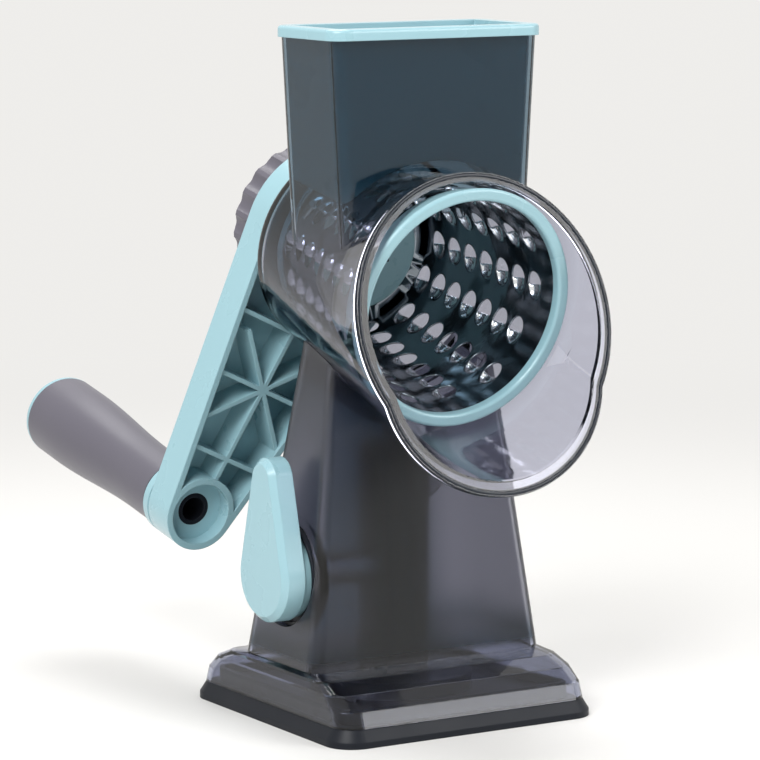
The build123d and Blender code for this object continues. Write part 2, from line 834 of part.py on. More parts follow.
with BuildPart() as food_pusher:
    add(hopper_form(pusher_inset, pusher_bottom, rim_base))
    with BuildSketch(Plane.XY.offset(rim_base)):
        with Locations((0, (hopper_rear - hopper_front) / 2)):
            RectangleRounded(
                2 * (hopper_half_width + pusher_rim_overhang),
                hopper_front + hopper_rear + 2 * pusher_rim_overhang,
                hopper_corner + pusher_rim_overhang,
            )
    extrude(amount=pusher_rim_height)
    fillet(food_pusher.edges().group_by(Axis.Z)[-1], pusher_rim_round)
    add(pusher_arch.part, mode=Mode.SUBTRACT)
    add(pusher_hollow.part, mode=Mode.SUBTRACT)

food_pusher.part.label = "food_pusher"
export_step(food_pusher.part, "parts/food_pusher.step")

# Suction lever on the left, with a bevelled outer face and a round boss
lever_plane = Plane(origin=(-lever_back, 0, pivot_height), x_dir=(0, -1, 0), z_dir=(-1, 0, 0))
lever_boss_inner = pocket_floor + bush_floor + turn_gap
socket_end = lever_back + shaft_socket
with BuildPart() as lock_lever:
    with BuildSketch(lever_plane):
        Circle(lever_root_radius)
        with Locations((0, lever_reach)):
            Circle(lever_tip_radius)
        make_hull()
    extrude(amount=lever_thickness)
    chamfer(lock_lever.faces().sort_by(Axis.X)[0].edges(), lever_bevel)
    with BuildSketch(lever_plane):
        Circle(lever_boss_radius)
    extrude(amount=-(lever_back - lever_boss_inner))
    with BuildSketch(Plane.YZ.offset(-lever_boss_inner)):
        with Locations((0, pivot_height)):
            Circle(shaft_radius + running_gap)
        with Locations((0, pivot_height + 2 * shaft_radius - shaft_flat)):
            Rectangle(2 * shaft_radius, 2 * shaft_radius, mode=Mode.SUBTRACT)
    extrude(amount=-(socket_end - lever_boss_inner), mode=Mode.SUBTRACT)

lock_lever.part.label = "lock_lever"
export_step(lock_lever.part, "parts/lock_lever.step")

# Black flanged bush in the column's pocket
with BuildPart() as lever_bush:
    with BuildSketch(Plane.YZ.offset(-pocket_floor)):
        with Locations((0, pivot_height)):
            Circle(pocket_radius - seat_gap)
    extrude(amount=-bush_lip_height)
    with BuildSketch(Plane.YZ.offset(-pocket_floor - bush_floor)):
        with Locations((0, pivot_height)):
            Circle(pocket_radius - seat_gap - bush_lip)
    extrude(amount=-bush_lip_height, mode=Mode.SUBTRACT)
    with BuildSketch(pocket_face):
        with Locations((0, pivot_height)):
            Circle(shaft_radius + bush_wall)
    extrude(amount=-pocket_wall)
    with BuildSketch(pocket_face):
        with Locations((0, pivot_height)):
            Circle(shaft_radius + running_gap)
    extrude(amount=-(pocket_wall + bush_floor), mode=Mode.SUBTRACT)

lever_bush.part.label = "lever_bush"
export_step(lever_bush.part, "parts/lever_bush.step")

# Cranked shaft: its pin lifts the plunger as the lever turns
pin_throw = travel / (2 * sin(radians(crank_angle)))
pin_y = pin_throw * cos(radians(crank_angle))
pin_z = pivot_height - travel / 2
bay_x = tower_width / 2 - tower_wall_x
bay_y = tower_depth / 2 - tower_wall_y
journal_end = tower_width / 2 + clip_thickness + 2 * seat_gap + clip_thickness
with BuildPart() as cam_shaft:
    with BuildSketch(Plane.YZ.offset(-bay_x + seat_gap / 2)):
        with Locations((0, pivot_height)):
            Circle(shaft_radius)
    extrude(amount=-(socket_end - bay_x))
    with BuildSketch(Plane.YZ.offset(-lever_boss_inner)):
        with Locations((0, pivot_height + 2 * shaft_radius - shaft_flat)):
            Rectangle(2 * shaft_radius, 2 * shaft_radius)
    extrude(amount=-(socket_end - lever_boss_inner), mode=Mode.SUBTRACT)
    with BuildSketch(Plane.YZ.offset(-bay_x)):
        with Locations((pin_y, pin_z)):
            Circle(pin_radius)
    extrude(amount=2 * bay_x)
    with BuildSketch(Plane.YZ.offset(bay_x - seat_gap)):
        with Locations((0, pivot_height)):
            Circle(journal_radius)
    extrude(amount=journal_end - bay_x)

cam_shaft.part.label = "cam_shaft"
export_step(cam_shaft.part, "parts/cam_shaft.step")

with BuildPart() as shaft_clip:
    with BuildSketch(Plane.YZ.offset(tower_width / 2 + seat_gap)):
        with Locations((0, pivot_height)):
            Circle(clip_radius)
            Circle(journal_radius + running_gap, mode=Mode.SUBTRACT)
        with Locations((0, pivot_height - clip_radius)):
            Rectangle(journal_radius, 2 * clip_radius - journal_radius, mode=Mode.SUBTRACT)
    extrude(amount=clip_thickness)

shaft_clip.part.label = "shaft_clip"
export_step(shaft_clip.part, "parts/shaft_clip.step")

# Base tray: closes the skirt, domed over the suction disc, with the plunger's tower
plunger_bore = neck_rod_radius + seat_gap
with BuildPart() as base_tray:
    with BuildSketch(Plane.XY.offset(foot_height)):
        RectangleRounded(tray_side, tray_side, tray_corner)
    extrude(amount=tray_thickness + tray_edge_height)
    with BuildSketch(Plane.XY.offset(foot_height + tray_thickness)):
        RectangleRounded(tray_side - 2 * tray_edge, tray_side - 2 * tray_edge, tray_corner - tray_edge)
    extrude(amount=tray_edge_height, mode=Mode.SUBTRACT)
    with BuildSketch(Plane.XY.offset(foot_height)):
        Circle(dome_radius)
    extrude(amount=dome_top - foot_height)
    with BuildSketch(Plane.XY.offset(dome_top)):
        Rectangle(tower_width, tower_depth)
    extrude(amount=tower_top - dome_top)
    with BuildSketch(Plane.XY.offset(foot_height)):
        Circle(dome_radius - dome_wall)
    extrude(amount=dome_top - dome_wall - foot_height, mode=Mode.SUBTRACT)
    with BuildSketch(Plane.XY.offset(dome_top)):
        Rectangle(2 * bay_x, 2 * bay_y)
    extrude(amount=tower_top - dome_top, mode=Mode.SUBTRACT)
    with BuildSketch(Plane.XY.offset(dome_top - dome_wall)):
        Circle(plunger_bore)
    extrude(amount=dome_wall, mode=Mode.SUBTRACT)
    with BuildSketch(Plane.YZ.offset(-tower_width / 2)):
        with Locations((0, pivot_height)):
            Circle(shaft_radius + running_gap)
    extrude(amount=tower_wall_x, mode=Mode.SUBTRACT)
    with BuildSketch(Plane.YZ.offset(bay_x)):
        with Locations((0, pivot_height)):
            Circle(journal_radius + running_gap)
    extrude(amount=tower_wall_x, mode=Mode.SUBTRACT)

base_tray.part.label = "base_tray"
export_step(base_tray.part, "parts/base_tray.step")

# Plunger: a slotted block in the tower on a round neck
disc_floor = cup_floor_gap + cup_crown + seat_gap / 2
disc_top = disc_floor + disc_thickness
block_bottom = pin_z - block_height / 2
slot_half = pin_radius + pin_lift_gap
slot_rear = pin_throw + pin_radius + pin_lift_gap
slot_front = pin_y - pin_radius - pin_lift_gap
with BuildPart() as plunger_stem:
    with BuildSketch(Plane.XY.offset(disc_top + seat_gap / 2)):
        Circle(neck_rod_radius)
    extrude(amount=block_bottom - disc_top - seat_gap / 2)
    with BuildSketch(Plane.XY.offset(block_bottom)):
        Rectangle(2 * (bay_x - slide_gap), 2 * (bay_y - slide_gap))
    extrude(amount=block_height)
    with BuildSketch(Plane.YZ.offset(-tower_width)):
        with Locations(((slot_front + slot_rear) / 2, pin_z)):
            Rectangle(slot_rear - slot_front, 2 * slot_half)
    extrude(amount=2 * tower_width, mode=Mode.SUBTRACT)

plunger_stem.part.label = "plunger_stem"
export_step(plunger_stem.part, "parts/plunger_stem.step")

with BuildPart() as pressure_disc:
    with BuildSketch(Plane.XY.offset(disc_floor)):
        Circle(disc_radius)
    extrude(amount=disc_thickness)
    chamfer(pressure_disc.edges().group_by(Axis.Z)[-1], disc_round)

pressure_disc.part.label = "pressure_disc"
export_step(pressure_disc.part, "parts/pressure_disc.step")

with BuildPart() as suction_cup:
    with BuildSketch(Plane.XZ):
        Polygon(
            (0, cup_floor_gap + cup_hollow),
            (cup_radius, cup_floor_gap),
            (cup_radius, cup_floor_gap + cup_edge),
            (disc_radius, cup_floor_gap + cup_crown),
            (0, cup_floor_gap + cup_crown),
            align=None,
        )
    revolve(axis=Axis.Z)

suction_cup.part.label = "suction_cup"
export_step(suction_cup.part, "parts/suction_cup.step")
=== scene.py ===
import json
import math

import bmesh
import bpy
from bpy.props import FloatProperty, FloatVectorProperty, IntProperty, PointerProperty
from bpy.types import Operator, Panel, PropertyGroup
from mathutils import Matrix, Vector


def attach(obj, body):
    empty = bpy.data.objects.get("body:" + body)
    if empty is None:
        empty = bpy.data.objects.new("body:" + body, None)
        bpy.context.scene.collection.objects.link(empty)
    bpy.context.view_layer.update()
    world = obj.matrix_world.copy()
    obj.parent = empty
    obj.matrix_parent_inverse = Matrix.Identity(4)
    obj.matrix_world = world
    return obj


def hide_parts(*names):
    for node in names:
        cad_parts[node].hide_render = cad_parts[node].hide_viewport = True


bl_info = {
    "name": "Rotary Shredder",
    "version": (1, 0, 0),
    "blender": (4, 5, 0),
    "location": "View3D > Sidebar > Shredder",
    "description": "Finishes and fine pieces for a hand cranked drum shredder, with its studio stage",
    "category": "Object",
}

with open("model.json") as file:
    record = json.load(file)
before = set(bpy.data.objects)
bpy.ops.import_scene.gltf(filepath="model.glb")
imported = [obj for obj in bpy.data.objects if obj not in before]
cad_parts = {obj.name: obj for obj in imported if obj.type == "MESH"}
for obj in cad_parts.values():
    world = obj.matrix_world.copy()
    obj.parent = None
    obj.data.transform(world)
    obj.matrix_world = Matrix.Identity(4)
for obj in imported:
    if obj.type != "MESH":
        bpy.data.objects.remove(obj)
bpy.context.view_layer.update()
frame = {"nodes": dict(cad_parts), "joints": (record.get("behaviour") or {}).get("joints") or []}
NODES = frame["nodes"]

# The barrel's frame, from the crank's joint: s runs rearwards, the drum turns about it
CRANK_JOINT = next(joint for joint in frame["joints"] if joint["name"] == "crank_turn")
RING_CENTRE = Vector(CRANK_JOINT["pos_m"])
TO_REAR = Vector(CRANK_JOINT["axis"]).normalized()
UP_ACROSS = Vector((1, 0, 0)).cross(TO_REAR)
MM = 0.001

# Cuts along the edges of a blade's cell: neighbours in staggered rows share them
ACROSS_STEPS = 8
ALONG_STEPS = 10

# A spoon's rings as shares of its oval, from the lip inwards, and the flat shoulder round the oval
SPOON_RINGS = (0.96, 0.86, 0.7, 0.5, 0.28)
SHOULDER = 1.1


# ---------------------------------------------------------------- properties


class ShredderColours(PropertyGroup):
    """Colours of the shredder's mouldings and metal."""

    teal: FloatVectorProperty(
        name="Teal",
        description="Crank, ring, lever and pusher",
        subtype="COLOR",
        default=(0.31, 0.52, 0.58),
    )
    smoke: FloatVectorProperty(
        name="Smoke", description="Clear barrel and hopper", subtype="COLOR", default=(0.60, 0.61, 0.72)
    )
    # Painted shade: the hopper's walls are darkened to the look of the shaded teal pusher seen through them.
    hopper_painted_shade: FloatVectorProperty(
        name="Hopper painted shade",
        description="Hopper walls, seen against the pusher",
        subtype="COLOR",
        default=(0.17, 0.25, 0.31),
    )
    smoke_barrel: FloatVectorProperty(
        name="Barrel smoke",
        description="Barrel behind the collar",
        subtype="COLOR",
        default=(0.42, 0.43, 0.50),
    )
    # Painted shade: the bead is clear like the housing; this near black stands for the dark look of its thick
    # clear edge.
    bead_painted_shade: FloatVectorProperty(
        name="Bead painted shade", description="Thick rim bead", subtype="COLOR", default=(0.008, 0.012, 0.02)
    )
    smoke_skirt: FloatVectorProperty(
        name="Skirt smoke",
        description="Clear skirt over the tray",
        subtype="COLOR",
        default=(0.34, 0.36, 0.46),
    )
    column: FloatVectorProperty(
        name="Column", description="Frosted column", subtype="COLOR", default=(0.33, 0.335, 0.395)
    )
    # Painted shade: a dark stripe down the column's middle and a dark band at its foot, where it meets the
    # skirt.
    column_painted_shade: FloatVectorProperty(
        name="Column painted shade",
        description="Middle and foot of the column",
        subtype="COLOR",
        default=(0.05, 0.08, 0.12),
    )
    grip: FloatVectorProperty(
        name="Grip", description="Turning grip and knob", subtype="COLOR", default=(0.115, 0.108, 0.135)
    )
    rubber: FloatVectorProperty(
        name="Rubber", description="Foot and suction cup", subtype="COLOR", default=(0.006, 0.008, 0.013)
    )
    black: FloatVectorProperty(
        name="Black", description="Tray, bushes and plunger", subtype="COLOR", default=(0.012, 0.014, 0.02)
    )
    # Painted light and shade on one steel: the spoons are a bright lit copy, the sheet between them a dark
    # bluish shaded copy.
    steel: FloatVectorProperty(
        name="Steel", description="Bright punched spoons", subtype="COLOR", default=(0.80, 0.81, 0.83)
    )
    sheet: FloatVectorProperty(
        name="Sheet", description="Drum sheet between them", subtype="COLOR", default=(0.22, 0.25, 0.28)
    )


class ShredderDrum(PropertyGroup):
    """Sizes of the punched drum."""

    front_radius: FloatProperty(
        name="Front radius", description="Sheet's outside at the mouth", unit="LENGTH", default=45.8 * MM
    )
    taper: FloatProperty(name="Taper", description="Radius lost per unit of length", default=0.14)
    start: FloatProperty(
        name="Start", description="Front edge behind the ring", unit="LENGTH", default=3.2 * MM
    )
    end: FloatProperty(name="End", description="Rear edge behind the ring", unit="LENGTH", default=84 * MM)
    bore: FloatProperty(name="Bore", description="Hole in the rear flange", unit="LENGTH", default=26 * MM)
    sheet: FloatProperty(name="Sheet", description="Steel's thickness", unit="LENGTH", default=0.6 * MM)
    rows: IntProperty(name="Rows", description="Rows of blades round the drum", default=13)
    places: IntProperty(name="Places", description="Blades in a row", default=7)
    row_angle: FloatProperty(
        name="Row angle",
        description="Where the first row stands",
        subtype="ANGLE",
        default=math.radians(31),
    )
    first: FloatProperty(
        name="First", description="First blade behind the ring", unit="LENGTH", default=14.5 * MM
    )
    pitch: FloatProperty(
        name="Pitch", description="Between blades of a row", unit="LENGTH", default=10.2 * MM
    )
    stagger: FloatProperty(
        name="Stagger", description="Shift of every other row", unit="LENGTH", default=4.08 * MM
    )
    length: FloatProperty(
        name="Blade length", description="Opening and scoop", unit="LENGTH", default=12 * MM
    )
    width: FloatProperty(name="Blade width", description="Across a blade", unit="LENGTH", default=8 * MM)
    lift: FloatProperty(name="Lift", description="Height of a scoop's lip", unit="LENGTH", default=2 * MM)
    slant: FloatProperty(
        name="Slant", description="Blade's turn on the sheet", subtype="ANGLE", default=math.radians(9)
    )


class ShredderMouth(PropertyGroup):
    """The mouth's slanted rim, a circle joined to an oval below it, and its rolled bead."""

    lean: FloatProperty(name="Lean", description="Rise of the rim's facing per unit forwards", default=0.5)
    setback: FloatProperty(
        name="Setback", description="Rim before the drum's ring", unit="LENGTH", default=17.6 * MM
    )
    rise: FloatProperty(
        name="Rise", description="Circle's centre over the axis", unit="LENGTH", default=1 * MM
    )
    round_radius: FloatProperty(
        name="Round", description="Circle's radius", unit="LENGTH", default=59.6 * MM
    )
    oval_drop: FloatProperty(
        name="Oval drop", description="Oval's centre under the circle's", unit="LENGTH", default=23 * MM
    )
    oval_width: FloatProperty(name="Oval width", description="Half of it", unit="LENGTH", default=51.6 * MM)
    oval_height: FloatProperty(
        name="Oval height", description="Half of it", unit="LENGTH", default=48.1 * MM
    )
    bead: FloatProperty(
        name="Bead", description="Radius of the rolled edge", unit="LENGTH", default=1.5 * MM
    )
    proud: FloatProperty(
        name="Proud", description="Bead over the rim's face", unit="LENGTH", default=0.3 * MM
    )
    turns: IntProperty(name="Turns", description="Steps along the bead", default=180)
    sides: IntProperty(name="Sides", description="Steps round the bead", default=10)


class ShredderTints(PropertyGroup):
    """Where the smoked mouldings grow darker or paler, and how softly; the hopper's tint, the column's stripe
    and its low band are painted shade.
    """

    barrel_start: FloatProperty(
        name="Barrel", description="Barrel's tint behind the ring", unit="LENGTH", default=6 * MM
    )
    barrel_fade: FloatProperty(
        name="Barrel fade", description="Half its width", unit="LENGTH", default=12 * MM
    )
    # The hopper's tint is painted shade of the pusher seen through the walls.
    hopper_lean: FloatProperty(
        name="Hopper lean", description="Rearward fall of the hopper's tint", default=0.25
    )
    hopper_level: FloatProperty(
        name="Hopper", description="Height of the hopper's tint", unit="LENGTH", default=207 * MM
    )
    hopper_fade: FloatProperty(
        name="Hopper fade", description="Half its width", unit="LENGTH", default=10 * MM
    )
    column_level: FloatProperty(
        name="Column", description="Foot of the column", unit="LENGTH", default=27 * MM
    )
    column_fade: FloatProperty(
        name="Column fade", description="Half its width", unit="LENGTH", default=2 * MM
    )
    # The dark stripe is painted shade down the column's middle.
    stripe_left: FloatProperty(
        name="Stripe's left",
        description="Dark stripe's edge from the middle",
        unit="LENGTH",
        default=26 * MM,
    )
    stripe_left_fade: FloatProperty(
        name="Left fade", description="Half its width", unit="LENGTH", default=10 * MM
    )
    stripe_right: FloatProperty(
        name="Stripe's right",
        description="Dark stripe's edge from the middle",
        unit="LENGTH",
        default=4 * MM,
    )
    stripe_right_fade: FloatProperty(
        name="Right fade", description="Half its width", unit="LENGTH", default=12 * MM
    )
    # The dark low band is painted shade at the column's foot.
    low_level: FloatProperty(
        name="Low", description="Top of the dark foot of the column", unit="LENGTH", default=36 * MM
    )
    low_fade: FloatProperty(name="Low fade", description="Half its width", unit="LENGTH", default=10 * MM)
    frost: FloatProperty(name="Frost", description="Roughness added on the column", default=0.24)


class ShredderStage(PropertyGroup):
    """Camera, floor and lamps."""

    lens: FloatProperty(
        name="Lens", description="Focal length on a 36 mm sensor", unit="CAMERA", default=186.22
    )
    camera: FloatVectorProperty(
        name="Camera",
        description="Where it stands",
        subtype="TRANSLATION",
        default=(-0.8495, -1.3716, 0.3665),
    )
    forward: FloatVectorProperty(
        name="Forward", description="Where it looks", subtype="DIRECTION", default=(0.5186, 0.8434, -0.1405)
    )
    floor: FloatVectorProperty(
        name="Floor", description="Pale floor", subtype="COLOR", default=(0.80, 0.79, 0.77)
    )
    backdrop: FloatVectorProperty(
        name="Backdrop", description="Plain pale surroundings", subtype="COLOR", default=(0.86, 0.85, 0.83)
    )
    key_power: FloatProperty(
        name="Key", description="Main softbox, left and high", unit="POWER", default=26
    )
    fill_power: FloatProperty(name="Fill", description="Softbox on the right", unit="POWER", default=12)
    top_power: FloatProperty(name="Top", description="Softbox overhead", unit="POWER", default=12)
    ambient: FloatProperty(name="Ambient", description="Even light of the room", default=0.28)


# ------------------------------------------------------------- shader pieces


def new_group(name, inputs, outputs):
    """An empty shader node group with its sockets, and its two end nodes."""
    group = bpy.data.node_groups.new(name, "ShaderNodeTree")
    for label, kind, value in inputs:
        socket = group.interface.new_socket(label, in_out="INPUT", socket_type=kind)
        socket.default_value = value
    for label, kind in outputs:
        group.interface.new_socket(label, in_out="OUTPUT", socket_type=kind)
    return group, group.nodes.new("NodeGroupInput"), group.nodes.new("NodeGroupOutput")


def moulded_surface():
    """Fine orange peel and handling haze of moulded plastic: a height and a roughness."""
    if "moulded surface" in bpy.data.node_groups:
        return bpy.data.node_groups["moulded surface"]
    group, start, end = new_group(
        "moulded surface",
        [
            ("Grain", "NodeSocketFloat", 900.0),
            ("Roughness", "NodeSocketFloat", 0.25),
            ("Haze", "NodeSocketFloat", 0.08),
        ],
        [("Height", "NodeSocketFloat"), ("Roughness", "NodeSocketFloat")],
    )
    link = group.links.new
    where = group.nodes.new("ShaderNodeTexCoord")
    grain = group.nodes.new("ShaderNodeTexNoise")
    grain.inputs["Detail"].default_value = 2.0
    link(where.outputs["Object"], grain.inputs["Vector"])
    link(start.outputs["Grain"], grain.inputs["Scale"])
    link(grain.outputs["Fac"], end.inputs["Height"])
    haze = group.nodes.new("ShaderNodeTexNoise")
    haze.inputs["Scale"].default_value = 38.0
    haze.inputs["Detail"].default_value = 5.0
    link(where.outputs["Object"], haze.inputs["Vector"])
    spread = group.nodes.new("ShaderNodeMath")
    spread.operation = "MULTIPLY"
    link(haze.outputs["Fac"], spread.inputs[0])
    link(start.outputs["Haze"], spread.inputs[1])
    total = group.nodes.new("ShaderNodeMath")
    total.operation = "ADD"
    link(spread.outputs[0], total.inputs[0])
    link(start.outputs["Roughness"], total.inputs[1])
    link(total.outputs[0], end.inputs["Roughness"])
    return group


def band_mask():
    """1 above a level along a direction and 0 below it, with a soft step between."""
    if "band mask" in bpy.data.node_groups:
        return bpy.data.node_groups["band mask"]
    group, start, end = new_group(
        "band mask",
        [
            ("Direction", "NodeSocketVector", (0.0, 0.0, 1.0)),
            ("Level", "NodeSocketFloat", 0.0),
            ("Softness", "NodeSocketFloat", 0.002),
        ],
        [("Mask", "NodeSocketFloat")],
    )
    link = group.links.new
    where = group.nodes.new("ShaderNodeTexCoord")
    along = group.nodes.new("ShaderNodeVectorMath")
    along.operation = "DOT_PRODUCT"
    link(where.outputs["Object"], along.inputs[0])
    link(start.outputs["Direction"], along.inputs[1])
    low = group.nodes.new("ShaderNodeMath")
    low.operation = "SUBTRACT"
    link(start.outputs["Level"], low.inputs[0])
    link(start.outputs["Softness"], low.inputs[1])
    high = group.nodes.new("ShaderNodeMath")
    high.operation = "ADD"
    link(start.outputs["Level"], high.inputs[0])
    link(start.outputs["Softness"], high.inputs[1])
    step = group.nodes.new("ShaderNodeMapRange")
    step.interpolation_type = "SMOOTHSTEP"
    link(along.outputs["Value"], step.inputs["Value"])
    link(low.outputs[0], step.inputs["From Min"])
    link(high.outputs[0], step.inputs["From Max"])
    link(step.outputs["Result"], end.inputs["Mask"])
    return group


def place_group(material, group, **values):
    """The group as a node of the material, with its input values."""
    node = material.node_tree.nodes.new("ShaderNodeGroup")
    node.node_tree = group
    for label, value in values.items():
        node.inputs[label.replace("_", " ").capitalize()].default_value = value
    return node


def new_material(name):
    """A material with its Principled shader."""
    material = bpy.data.materials.new(name)
    material.use_nodes = True
    return material, material.node_tree.nodes["Principled BSDF"]


def mix_colours(material, mask, low, high):
    """A colour that goes from low to high with the mask."""
    mix = material.node_tree.nodes.new("ShaderNodeMix")
    mix.data_type = "RGBA"
    colour_inputs = [socket for socket in mix.inputs if socket.type == "RGBA"]
    material.node_tree.links.new(mask, mix.inputs[0])
    for socket, value in zip(colour_inputs, (low, high)):
        if isinstance(value, bpy.types.NodeSocket):
            material.node_tree.links.new(value, socket)
        else:
            socket.default_value = (*value, 1)
    return next(socket for socket in mix.outputs if socket.type == "RGBA")


def add_bump(material, shader, height, depth, rounding=0.0):
    """Bump from a height, over edges softened by the rounding radius."""
    bump = material.node_tree.nodes.new("ShaderNodeBump")
    bump.inputs["Strength"].default_value = 1.0
    bump.inputs["Distance"].default_value = depth
    material.node_tree.links.new(height, bump.inputs["Height"])
    if rounding:
        soft = material.node_tree.nodes.new("ShaderNodeBevel")
        soft.samples = 6
        soft.inputs["Radius"].default_value = rounding
        material.node_tree.links.new(soft.outputs["Normal"], bump.inputs["Normal"])
    material.node_tree.links.new(bump.outputs["Normal"], shader.inputs["Normal"])


def moulded_plastic(
    name, colour, roughness, haze=0.08, grain=900.0, depth=0.00002, rounding=0.0006, coat=0.0, specular=0.5
):
    """Opaque moulded plastic or rubber with fine grain and softened edges."""
    material, shader = new_material(name)
    surface = place_group(material, moulded_surface(), grain=grain, roughness=roughness, haze=haze)
    shader.inputs["Coat Weight"].default_value = coat
    shader.inputs["Coat Roughness"].default_value = 0.08
    shader.inputs["Specular IOR Level"].default_value = specular
    tone = material.node_tree.nodes.new("ShaderNodeTexNoise")
    tone.inputs["Scale"].default_value = 9.0
    where = material.node_tree.nodes.new("ShaderNodeTexCoord")
    material.node_tree.links.new(where.outputs["Object"], tone.inputs["Vector"])
    darker = [channel * 0.93 for channel in colour]
    blended = mix_colours(material, tone.outputs["Fac"], darker, colour)
    material.node_tree.links.new(blended, shader.inputs["Base Color"])
    material.node_tree.links.new(surface.outputs["Roughness"], shader.inputs["Roughness"])
    add_bump(material, shader, surface.outputs["Height"], depth, rounding)
    return material


def bright_metal(name, colour, roughness, grain=260.0, depth=0.00003):
    """Polished or satin metal with slight rolling marks."""
    material, shader = new_material(name)
    surface = place_group(material, moulded_surface(), grain=grain, roughness=roughness, haze=0.06)
    shader.inputs["Metallic"].default_value = 1.0
    shader.inputs["Base Color"].default_value = (*colour, 1)
    material.node_tree.links.new(surface.outputs["Roughness"], shader.inputs["Roughness"])
    add_bump(material, shader, surface.outputs["Height"], depth)
    return material


def band(along, level, softness):
    """A part of a moulding: what lies above a level along a direction."""

    def mask(material):
        node = place_group(material, band_mask(), direction=along, level=level, softness=softness)
        return node.outputs["Mask"]

    return mask


def shared(*parts):
    """The part of a moulding where all the given parts meet."""

    def mask(material):
        met = parts[0](material)
        for part in parts[1:]:
            both = material.node_tree.nodes.new("ShaderNodeMath")
            both.operation = "MULTIPLY"
            material.node_tree.links.new(met, both.inputs[0])
            material.node_tree.links.new(part(material), both.inputs[1])
            met = both.outputs[0]
        return met

    return mask


def clear_plastic(name, base, layers, roughness=0.03, haze=0.03, grain=120.0, depth=0.00003):
    """Clear smoked plastic: each layer lays its colour over the last, on its part of the moulding."""
    material, shader = new_material(name)
    tint = base
    for part, colour in layers:
        tint = mix_colours(material, part(material), tint, colour)
    material.node_tree.links.new(tint, shader.inputs["Base Color"])
    surface = place_group(material, moulded_surface(), grain=grain, roughness=roughness, haze=haze)
    material.node_tree.links.new(surface.outputs["Roughness"], shader.inputs["Roughness"])
    shader.inputs["Transmission Weight"].default_value = 1.0
    shader.inputs["IOR"].default_value = 1.45
    add_bump(material, shader, surface.outputs["Height"], depth)
    return material, shader, surface


# ---------------------------------------------------------------- CAD pieces


def finish_node(name, material):
    """Gives a CAD node its material."""
    node = NODES[name]
    node.data.materials.clear()
    node.data.materials.append(material)


def new_piece(name, mesh, body, material):
    """A new object riding on a body and material."""
    piece = bpy.data.objects.new(name, mesh)
    bpy.context.scene.collection.objects.link(piece)
    mesh.materials.append(material)
    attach(piece, body)
    return piece


def drum_point(drum, angle, s, lift=0.0):
    """Point on the drum's outside at an angle, s behind the ring, raised by lift."""
    radius = drum.front_radius - drum.taper * (s - drum.start) + lift
    outward = Vector((1, 0, 0)) * math.cos(angle) + UP_ACROSS * math.sin(angle)
    return RING_CENTRE + TO_REAR * s + outward * radius


def blade_cell(mesh, drum, angle, s):
    """One blade in its cell of sheet: an oval whose trailing half is a raised spoon."""
    half_turn = math.pi / drum.rows
    around = drum.front_radius - drum.taper * (s - drum.start)
    perimeter = [(-1 + 2 * step / ACROSS_STEPS, -1) for step in range(ACROSS_STEPS)]
    perimeter += [(1, -1 + 2 * step / ALONG_STEPS) for step in range(ALONG_STEPS)]
    perimeter += [(1 - 2 * step / ACROSS_STEPS, 1) for step in range(ACROSS_STEPS)]
    perimeter += [(-1, 1 - 2 * step / ALONG_STEPS) for step in range(ALONG_STEPS)]
    turn = Matrix.Rotation(drum.slant, 2)
    half = Vector((drum.length / 2, drum.width / 2))

    def spoon_point(phi, reach):
        local = Vector((math.cos(phi) * half.x, math.sin(phi) * half.y)) * reach
        flat = turn @ local
        dome = 0.0
        if math.cos(phi) < 1e-6:
            dome = drum.lift * (1 - reach ** 2.4) ** 0.75
        return mesh.verts.new(drum_point(drum, angle + flat.x / around, s + flat.y, dome))

    outer = []
    oval = []
    shoulder = []
    for x, y in perimeter:
        place_s = min(s + y * drum.pitch / 2, drum.end)
        outer.append(mesh.verts.new(drum_point(drum, angle + x * half_turn, place_s)))
        phi = math.atan2(y, x)
        oval.append(spoon_point(phi, 1.0))
        flat = turn @ (Vector((math.cos(phi) * half.x, math.sin(phi) * half.y)) * SHOULDER)
        shoulder.append(mesh.verts.new(drum_point(drum, angle + flat.x / around, s + flat.y)))
    count = len(perimeter)
    for index in range(count):
        after = (index + 1) % count
        mesh.faces.new((outer[index], outer[after], shoulder[after], shoulder[index]))
        mesh.faces.new((shoulder[index], shoulder[after], oval[after], oval[index]))
    trailing = [index for index in range(count) if perimeter[index][0] <= 0]
    trailing.sort(key=lambda index: math.atan2(perimeter[index][1], perimeter[index][0]) % (2 * math.pi))
    rings = [[oval[index] for index in trailing]]
    angles = [math.atan2(perimeter[index][1], perimeter[index][0]) for index in trailing]
    for reach in SPOON_RINGS:
        rings.append([spoon_point(phi, reach) for phi in angles])
    for outside, inside in zip(rings, rings[1:]):
        for index in range(len(trailing) - 1):
            face = mesh.faces.new((outside[index], outside[index + 1], inside[index + 1], inside[index]))
            face.material_index = 1
    centre = spoon_point(math.pi, 0.0)
    for index in range(len(trailing) - 1):
        face = mesh.faces.new((rings[-1][index], rings[-1][index + 1], centre))
        face.material_index = 1


def sheet_strip(mesh, drum, angle, low, high):
    """Plain sheet of one row between two places, cut where the blade cells' edges are cut."""
    half_turn = math.pi / drum.rows
    step_length = drum.pitch / ALONG_STEPS
    first_cut = drum.first - drum.pitch / 2
    cuts = [first_cut + count * step_length for count in range(-ALONG_STEPS, 10 * ALONG_STEPS)]
    places = [low] + [cut for cut in cuts if low + 0.00001 < cut < high - 0.00001] + [high]
    for near, far in zip(places, places[1:]):
        for step in range(ACROSS_STEPS):
            left = angle - half_turn + 2 * half_turn * step / ACROSS_STEPS
            right = left + 2 * half_turn / ACROSS_STEPS
            corners = [(left, near), (right, near), (right, far), (left, far)]
            mesh.faces.new([mesh.verts.new(drum_point(drum, turn, s)) for turn, s in corners])


